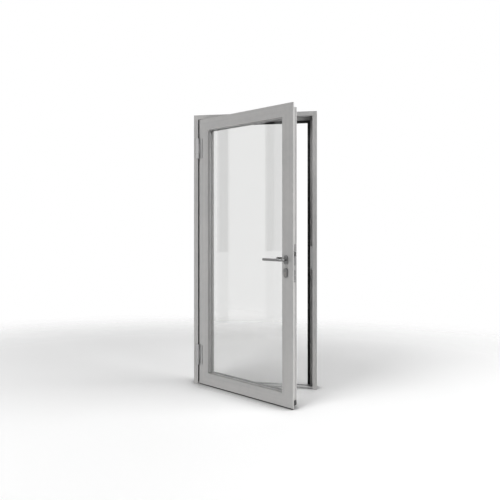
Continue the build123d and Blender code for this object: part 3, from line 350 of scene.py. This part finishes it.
def seal_rubber(name, share, angle):
    """Extruded rubber with a fine grain and a bloom of dust."""
    rubber = Finish(name)
    specks = rubber.grain(1.0, rubber.turned(angle, RUBBER_GRAIN), detail=2.0)
    bloom = rubber.between(rubber.grain(30 * MM, detail=5.0), 0.45, 0.8)
    return rubber.surface(
        Base_Color=rubber.mixed(bloom * 0.5, grey(share), grey(share + 0.03)),
        Roughness=0.66 + 0.14 * specks,
        Specular_IOR_Level=0.25,
        Normal=rubber.relief(specks, 0.04 * MM, 0.5),
    )


plastic = moulded_plastic("black_polyamide", 0.022)
black_rubber = seal_rubber("black_seal_rubber", 0.016, 0.0)
glazing_rubber = seal_rubber("grey_glazing_rubber", 0.55, LEAF_ANGLE)
# Partly painted light: this grey lightens the edge sealant, which lies in the panes' shade.
edge_sealant = seal_rubber("grey_edge_sealant_painted_light", 0.40, LEAF_ANGLE)

# %% [markdown]
# Each pane is a closed slab, so light can bend on its way in and out as it does in real glass.
# The tint is very pale. What makes glass look like glass is what it mirrors, and a trace of
# wiped dust gives the mirror image something to break on.

# %% Glass
TINT = (0.889, 0.890, 0.887)
WIPES = (4.0, 4.0, 11.0)
FILM_SHADE = 0.985


def pane_glass(name, tint):
    """Clear float glass, with wipe marks in its gloss and a trace of them in its tint."""
    glass = Finish(name)
    wiped = glass.grain(1.0, glass.turned(LEAF_ANGLE, WIPES), detail=5.0)
    film = glass.between(wiped, 0.5, 0.85)
    dusty = [FILM_SHADE * part for part in tint]
    return glass.surface(
        Base_Color=glass.mixed(film * 0.3, (*tint, 1.0), (*dusty, 1.0)),
        Transmission_Weight=1.0,
        Roughness=0.012 * film,
        IOR=1.52,
    )


clear_glass = pane_glass("pale_clear_glass", TINT)

# %% [markdown]
# The record says which material each node is made of. One dictionary turns that word into a
# finish, and a second one names the pieces that need another, such as the levers and all that
# lies level. The finish goes into the slots that the solids came with, so their shapes stay
# untouched.

# %% Dress the solids
BY_SLOT = {
    "profile_paint": upright_coat,
    "mill_aluminium": bare_frame,
    "black_plastic": plastic,
    "black_rubber": black_rubber,
    "grey_rubber": glazing_rubber,
    "clear_glass": clear_glass,
    "satin_steel": plate_steel,
    "satin_nickel": nickel,
    "hinge_metal": hinge_metal,
}
BY_NODE = {
    "front_lever": lever_steel,
    "rear_lever": lever_steel,
    "lock_faceplate": face_steel,
    "latch_bolt": bolt_steel,
    "deadbolt": bolt_steel,
    "strike_keep": keep_steel,
    "glass_edge_seal": edge_sealant,
    "bottom_seal_carrier": bare_leaf,
    "leaf_corner_cleats": bare_leaf,
    "glass_spacer": spacer_metal,
}
for part in ("front_shell", "rear_shell"):
    BY_NODE[f"head_{part}"] = head_coat
for rail in ("leaf_top_rail", "leaf_bottom_rail"):
    for part in ("front_shell", "rear_shell", "glazing_bead"):
        BY_NODE[f"{rail}_{part}"] = rail_coat
slot_of = {part["node"]: part["material_slot"] for part in frame["record"]["subparts"]}
for name, node in nodes.items():
    for slot in node.material_slots:
        slot.material = BY_NODE.get(name, BY_SLOT[slot_of[name]])
print("dressed:", len(nodes))

# %% [markdown]
# What the scene adds to the door is small: screws and seals. Each can be thought of as a skin
# over a row of rings, as a lathe or an extruder would make it. So one pair of helpers makes
# them all: the first joins the rings and closes both ends, and the second turns such skins
# into a piece that moves with one of the door's bodies.

# %% Skins and pieces
def add_skin(mesh, rings):
    """Adds a closed skin to a mesh: quads from ring to ring and a face at each end."""
    made = [[mesh.verts.new(corner) for corner in ring] for ring in rings]
    for near, far in zip(made, made[1:]):
        for first in range(len(near)):
            after = (first + 1) % len(near)
            mesh.faces.new((near[first], near[after], far[after], far[first]))
    mesh.faces.new(made[0][::-1])
    mesh.faces.new(made[-1])


def add_piece(name, skins, body, finish):
    """Makes a piece from its skins, which rides on a body of the door."""
    mesh = bmesh.new()
    for rings in skins:
        add_skin(mesh, rings)
    bmesh.ops.recalc_face_normals(mesh, faces=mesh.faces)
    data = bpy.data.meshes.new(name)
    mesh.to_mesh(data)
    mesh.free()
    data.materials.append(finish)
    piece = bpy.data.objects.new(name, data)
    bpy.context.scene.collection.objects.link(piece)
    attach(piece, body)
    print(name, "faces:", len(data.polygons))
    return piece


def corners_of(name):
    """The corners of a node's mesh, one row each."""
    return np.array([corner.co[:] for corner in nodes[name].data.vertices])


# %% [markdown]
# The solids of the screws are plain. A real one has a six-lobed socket, and it shows on the
# hinges and on the edge of the leaf. A flat solid can't be dented by its finish, so each screw
# is made again at the same place. Its place, axis and length are measured from the solid.

# %% Find the screws
def loose_parts(node):
    """The corners of each separate solid in a node."""
    mesh = bmesh.new()
    mesh.from_mesh(node.data)
    bmesh.ops.remove_doubles(mesh, verts=mesh.verts, dist=1e-6)
    waiting = set(mesh.verts)
    found = []
    while waiting:
        group = [waiting.pop()]
        for corner in group:
            for edge in corner.link_edges:
                other = edge.other_vert(corner)
                if other in waiting:
                    waiting.remove(other)
                    group.append(other)
        found.append(np.array([corner.co[:] for corner in group]))
    mesh.free()
    return sorted(found, key=lambda part: tuple(part.mean(axis=0).round(5)))


def measured(corners):
    """The middle of a screw's head, the direction into the hole, its radius and its length."""
    middle = corners.mean(axis=0)
    inwards = np.linalg.eigh(np.cov((corners - middle).T))[1][:, -1]
    along = (corners - middle) @ inwards
    away = np.linalg.norm(corners - middle - np.outer(along, inwards), axis=1)
    if along[away.argmax()] > 0:
        inwards, along = -inwards, -along
    head = middle + inwards * along.min()
    return Vector(head), Vector(inwards), away.max(), np.ptp(along)


screws = {name: loose_parts(nodes[name]) for name in ("frame_screws", "leaf_screws")}
print("screws:", {name: len(found) for name, found in screws.items()})

# %% [markdown]
# A screw is a row of rings from the floor of its socket, over the head and down the shank to
# the tip. The rings of the socket are waves with six crests, and the others are round. All
# sizes follow from the radius of the head, apart from the thin edge that a real head has.

# %% Make the screws
LOBES = 6
STEPS = 48
RIM = 0.30 * MM
BREAK = 0.12 * MM
TIP = 2.0 * MM


def screw_profile(head_radius, length):
    """Radius, wave and depth of each ring of a screw, from its socket's floor to its tip."""
    shank = head_radius / 2
    socket, wave, deep = head_radius * 0.40, head_radius * 0.07, head_radius * 0.42
    return [
        (socket * 0.25, 0.0, deep * 1.15),
        (socket, wave, deep),
        (socket, wave, BREAK / 2),
        (socket * 1.08, wave, 0.0),
        (head_radius - 0.25 * MM, 0.0, 0.0),
        (head_radius, 0.0, BREAK),
        (head_radius, 0.0, RIM),
        (shank, 0.0, head_radius - shank + RIM),
        (shank, 0.0, length - TIP),
        (shank * 0.2, 0.0, length),
    ]


def screw_rings(corners):
    """The rings of the screw that stands where these corners of a plain one are."""
    head, inwards, head_radius, length = measured(corners)
    across = inwards.orthogonal().normalized()
    upwards = inwards.cross(across)
    rings = []
    for radius, wave, depth in screw_profile(head_radius, length):
        ring = []
        for step in range(STEPS):
            turn = 2 * math.pi * step / STEPS
            reach = radius + wave * math.cos(LOBES * turn)
            out = across * math.cos(turn) + upwards * math.sin(turn)
            ring.append(head + out * reach + inwards * depth)
        rings.append(ring)
    return rings


screw_steel = brushed_metal("screw_steel", 0.48, 0.0, (300.0, 300.0, 300.0), 0.26)
for body in ("frame", "leaf"):
    plain = f"{body}_screws"
    skins = [screw_rings(corners) for corners in screws[plain]]
    made = add_piece(f"{body}_socket_screws", skins, body, screw_steel)
    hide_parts(plain)

# %% [markdown]
# A thin black seal lies along the inner face of the hinge jamb, behind the gap that opens
# beside the leaf. It is also painted shade, which makes that gap as dark as deep shade would.
# It is an extruded strip, so it is made the way it is made in rubber: one small outline, pushed
# along its length.

# %% Seal and painted shade in the hinge gap
GAP_STRIP_INSET = 1.5 * MM
GAP_STRIP_REACH = 2.0 * MM

jamb_low, jamb_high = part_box("hinge_jamb_front_shell")
sill_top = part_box("threshold_front_shell")[1].z
head_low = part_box("head_front_shell")[0].z
gap_strip_face = jamb_high.x
gap_strip_front = jamb_low.y + GAP_STRIP_INSET
gap_strip_back = jamb_high.y - GAP_STRIP_INSET
gap_strip_outline = (
    (gap_strip_face, gap_strip_front),
    (gap_strip_face + GAP_STRIP_REACH * 0.6, gap_strip_front + 0.4 * MM),
    (gap_strip_face + GAP_STRIP_REACH, gap_strip_front + GAP_STRIP_REACH),
    (gap_strip_face + GAP_STRIP_REACH, gap_strip_back - GAP_STRIP_REACH),
    (gap_strip_face + GAP_STRIP_REACH * 0.6, gap_strip_back - 0.4 * MM),
    (gap_strip_face, gap_strip_back),
)
strip = [[(x, y, height) for x, y in gap_strip_outline] for height in (sill_top, head_low)]
# A black seal that is also painted shade, darkening the gap beside the hinges.
add_piece("hinge_gap_seal_and_painted_shade", [strip], "frame", black_rubber)

# %% [markdown]
# The gasket on the stop of the frame is a solid strip in the model. The real one ends in a soft
# lip that reaches a little further into the opening, and against the light this lip is the
# black line inside the frame. It runs up both jambs and along the head without a break, so one
# outline is swept round the two top corners, with a mitre at each.

# %% Lip of the stop gasket
LIP_REACH = 6.5 * MM
LIP_WIDTH = 6.0 * MM
HEAD_DEPTH = 30 * MM

gasket = corners_of("frame_stop_gasket")
inner_side = gasket[gasket[:, 0] > 0, 0].min()
inner_top = gasket[gasket[:, 2] > gasket[:, 2].max() - HEAD_DEPTH, 2].min()
lip_back = gasket[:, 1].max() - 1.0 * MM
lip_front = lip_back - LIP_WIDTH
lip_outline = (
    (0.0, lip_front),
    (-LIP_REACH * 0.5, lip_front + 0.8 * MM),
    (-LIP_REACH, lip_front + 2.6 * MM),
    (-LIP_REACH * 0.96, lip_front + 3.6 * MM),
    (-LIP_REACH * 0.4, lip_back - 0.6 * MM),
    (0.0, lip_back),
)
lip_rings = [
    [(side * (inner_side + out), deep, rise * (inner_top + out)) for out, deep in lip_outline]
    for side, rise in ((-1, 0), (-1, 1), (1, 1), (1, 0))
]
add_piece("stop_gasket_lip", [lip_rings], "frame", black_rubber)

# %% [markdown]
# Under the front of the leaf runs a black lip that closes the gap to the floor, and that is
# also painted shade: from the camera it is the crisp dark line of the shaded gap along the
# door's foot. It is one more extruded strip, but it lies down and follows the open leaf, so its
# outline is drawn across the leaf and pushed along it. Where the leaf begins, ends and faces
# forward is measured from its bottom rail.

# %% Seal and painted shade under the leaf
TURN = math.radians(LEAF_ANGLE)
ALONG_LEAF = Vector((math.cos(TURN), -math.sin(TURN), 0.0))
INTO_LEAF = Vector((math.sin(TURN), math.cos(TURN), 0.0))
UP = Vector((0.0, 0.0, 1.0))
FOOT_LIP_AND_SHADE = ((0.5, 8.0), (0.5, 2.2), (0.0, 1.2), (0.6, 0.8), (3.0, 1.0), (4.0, 2.6), (4.0, 8.0))
END_GAP = 1.5 * MM

rail = corners_of("leaf_bottom_rail_front_shell")
along, into = rail @ np.array(ALONG_LEAF), rail @ np.array(INTO_LEAF)
ends = []
for reach in (along.min() + END_GAP, along.max() - END_GAP):
    foot = ALONG_LEAF * reach + INTO_LEAF * into.min()
    ends.append([foot + INTO_LEAF * (deep * MM) + UP * (high * MM) for deep, high in FOOT_LIP_AND_SHADE])
# A black lip that is also painted shade, darkening the gap under the leaf's front.
add_piece("leaf_foot_lip_and_painted_shade", [ends], "leaf", black_rubber)

# %% [markdown]
# The studio is a white floor that fades into a white surround. Lit white paper is never quite
# white, so for rays that come from the camera, a mirror or the glass it gives back more light
# than it takes, and glows a little. That lifts it to white and keeps the door's shadow. A
# photographer would put a second lamp on the paper, but here that lamp would also reach the
# door. Where something stands close over the floor, the colour for these rays drops to about a
# third of the lifted white, a painted contact shadow at the door's foot.

# %% Floor
FLOOR_SHADE = 0.90
FLOOR_GAIN = 1.38
FLOOR_GLOW = 0.02
CONTACT = 0.22
CONTACT_SHADE = 0.35
NARROW = (0.6, 1.0, 1.0)
FADE = (1.3, 3.2)
FLOOR_DROP = 0.5 * MM


def path(finish, kind):
    """What Light Path says of the ray that asks."""
    return finish.node("ShaderNodeLightPath", output=kind)


def seen_directly(finish):
    """1 for rays from the camera, in a mirror image or through the glass."""
    rays = path(finish, "Is Camera Ray") + path(finish, "Is Glossy Ray")
    rays = rays + path(finish, "Is Transmission Ray")
    return finish.node("ShaderNodeMath", {"operation": "MINIMUM"}, {0: rays, 1: 1.0})


def paper(name):
    """The lit paper of the floor, which becomes see-through away from the door."""
    sheet = Finish(name)
    squeezed = sheet.node(
        "ShaderNodeVectorMath", {"operation": "MULTIPLY"}, {0: sheet.place, 1: NARROW}
    )
    distance = sheet.node("ShaderNodeVectorMath", {"operation": "LENGTH"}, {0: squeezed}, output=1)
    seen = seen_directly(sheet)
    open_sky = sheet.node(
        "ShaderNodeAmbientOcclusion", {"samples": 8}, {"Distance": CONTACT}, output="AO"
    )
    lifted = FLOOR_SHADE * FLOOR_GAIN
    # Painted contact shadow: where the AO node finds the door close, the lifted white drops to
    # CONTACT_SHADE of itself.
    bright = sheet.mixed(
        sheet.between(open_sky, 0.4, 0.98), grey(lifted * CONTACT_SHADE), grey(lifted)
    )
    shade = sheet.mixed(seen, grey(FLOOR_SHADE), bright)
    lit = sheet.node("ShaderNodeBsdfDiffuse", inputs={"Color": shade})
    glow = sheet.node(
        "ShaderNodeEmission", inputs={"Color": grey(1.0), "Strength": seen * FLOOR_GLOW}
    )
    both = sheet.node("ShaderNodeAddShader", inputs={0: lit, 1: glow})
    clear = sheet.node("ShaderNodeBsdfTransparent")
    faded = sheet.between(distance, *FADE)
    return sheet.ended(sheet.node("ShaderNodeMixShader", inputs={0: faded, 1: both, 2: clear}))


def make_floor(name, radius, steps):
    """A round sheet of paper under the door."""
    mesh = bmesh.new()
    bmesh.ops.create_circle(mesh, cap_ends=True, radius=radius, segments=steps)
    data = bpy.data.meshes.new(name)
    mesh.to_mesh(data)
    mesh.free()
    data.materials.append(paper("white_paper"))
    floor = bpy.data.objects.new(name, data)
    floor.location.z = -FLOOR_DROP
    bpy.context.scene.collection.objects.link(floor)
    return floor


floor = make_floor("studio_floor", FADE[1] / NARROW[0] + 0.2, 96)
print("floor:", floor.dimensions)

# %% [markdown]
# The surround gives the door some light from every side, most of it near the horizon, and
# plain white to whatever looks at it directly.

# %% Surround
HORIZON = 0.27
ZENITH = 0.04


def light_surround():
    """Faint light for the door, and plain white for the camera, mirrors and glass."""
    world = bpy.data.worlds.new("white_surround")
    bpy.context.scene.world = world
    sky = Finish("white_surround", world)
    way = sky.node("ShaderNodeTexCoord", output="Generated")
    height = sky.node("ShaderNodeSeparateXYZ", inputs={0: way}, output="Z")
    high = sky.between(height * height, 0.0, 0.6)
    light = HORIZON - high * (HORIZON - ZENITH)
    strength = light + seen_directly(sky) * (1.0 - light)
    background = sky.node(
        "ShaderNodeBackground", inputs={"Color": grey(1.0), "Strength": strength}
    )
    sky.ended(background, "World")


light_surround()

# %% [markdown]
# Six soft boxes then shape the door. The key stands high at the left and a wide one high at the
# right, both so far away that the door's top gets hardly more light than its foot. Four weaker
# ones fill in from low down: two at the right for the free edge of the leaf and the inner sides
# of its rebate, one at the left for the front face, and one far behind for the paper there. A
# lamp's bare rectangle in a pane would give the studio away, so the last four are hidden from
# mirrors and from the glass.

# %% Soft boxes
def soft_box(name, place, target, width, height, radiance, mirrored):
    """An area lamp that is as bright as a surface of this radiance."""
    lamp = bpy.data.lights.new(name, "AREA")
    lamp.shape = "RECTANGLE"
    lamp.size = width
    lamp.size_y = height
    lamp.energy = radiance * math.pi * width * height
    box = bpy.data.objects.new(name, lamp)
    box.location = place
    box.rotation_mode = "QUATERNION"
    box.rotation_quaternion = (Vector(target) - Vector(place)).to_track_quat("-Z", "Y")
    box.visible_camera = False
    box.visible_glossy = box.visible_transmission = mirrored
    bpy.context.scene.collection.objects.link(box)
    print(name, "watts:", round(lamp.energy, 1))


for name, place, target, width, height, radiance, mirrored in (
    ("key_box", (-2.7, -3.6, 7.4), (0.0, -0.2, 0.8), 2.4, 2.4, 11.9, True),
    ("right_box", (7.4, -1.0, 4.9), (0.0, 0.0, 0.8), 5.5, 2.5, 7.8, True),
    ("edge_box", (6.5, -2.6, 1.2), (0.0, -0.2, 0.9), 3.0, 1.6, 3.0, False),
    ("side_box", (-5.2, -2.4, 0.7), (0.0, -0.2, 0.6), 1.8, 1.2, 17.0, False),
    ("low_box", (4.9, -4.2, 1.0), (0.0, -0.2, 0.9), 2.4, 1.4, 16.0, False),
    ("back_box", (1.0, 7.5, 4.0), (0.0, 2.0, 0.5), 3.0, 3.0, 1.2, False),
):
    soft_box(name, place, target, width, height, radiance, mirrored)

# %% [markdown]
# Glass shows mostly what it mirrors, and in an empty white studio that is nothing. Photographers
# stand dark cards beside the set, out of view, so that the panes get upright bands. Each card
# here has a darker upper half and a paler foot. A ray that has met a mirror on its way sees the
# card, also after it has left the glass again, and any other ray goes straight through it.

# %% Cards
CARD_X = -2.75
CARD_TOP = 3.1
CARD_STEP = 0.95


def card(name, near, far, low, high, shade):
    """A flat card at the left of the set, from one Y and height to another."""
    corners = [(CARD_X, near, low), (CARD_X, far, low), (CARD_X, far, high), (CARD_X, near, high)]
    data = bpy.data.meshes.new(name)
    data.from_pydata(corners, [], [(0, 1, 2, 3)])
    finish = Finish(name)
    dull = finish.node("ShaderNodeEmission", inputs={"Color": grey(1.0), "Strength": shade})
    clear = finish.node("ShaderNodeBsdfTransparent")
    depth = path(finish, "Glossy Depth")
    mirrored = finish.node("ShaderNodeMath", {"operation": "MINIMUM"}, {0: depth, 1: 1.0})
    finish.ended(finish.node("ShaderNodeMixShader", inputs={0: mirrored, 1: clear, 2: dull}))
    data.materials.append(finish.material)
    sheet = bpy.data.objects.new(name, data)
    for rays in ("camera", "diffuse", "volume_scatter", "shadow"):
        setattr(sheet, f"visible_{rays}", False)
    bpy.context.scene.collection.objects.link(sheet)


for name, near, far, upper, lower in (
    ("hinge_side_card", -0.873, -1.024, 0.0, 0.6),
    ("lock_side_card", -1.564, -1.697, 0.0, 0.75),
    ("edge_card", -1.697, -1.860, 0.4, 0.85),
):
    card(name, near, far, CARD_STEP, CARD_TOP, upper)
    card(f"{name}_foot", near, far, 0.0, CARD_STEP, lower)

# %% [markdown]
# The camera stands as the photographer's did: level, nearly four metres away and a little to
# the right. A level camera keeps upright edges upright, and the picture is slid down a little
# instead of tilting the lens, as an architect's camera does.

# %% Camera
EYE = (0.575, -3.919, 1.281)
FORWARD = (-0.1554, 0.9879, 0.0)
LENS = 35.0
FILM = 36.0
SLIDE = -0.0454

lens = bpy.data.cameras.new("camera")
lens.lens = LENS
lens.sensor_width = FILM
lens.shift_y = SLIDE
camera = bpy.data.objects.new("camera", lens)
camera.location = EYE
camera.rotation_mode = "QUATERNION"
camera.rotation_quaternion = Vector(FORWARD).to_track_quat("-Z", "Y")
bpy.context.scene.collection.objects.link(camera)
bpy.context.scene.camera = camera
bpy.context.scene.view_settings.view_transform = "Standard"
print("camera at", tuple(camera.location))
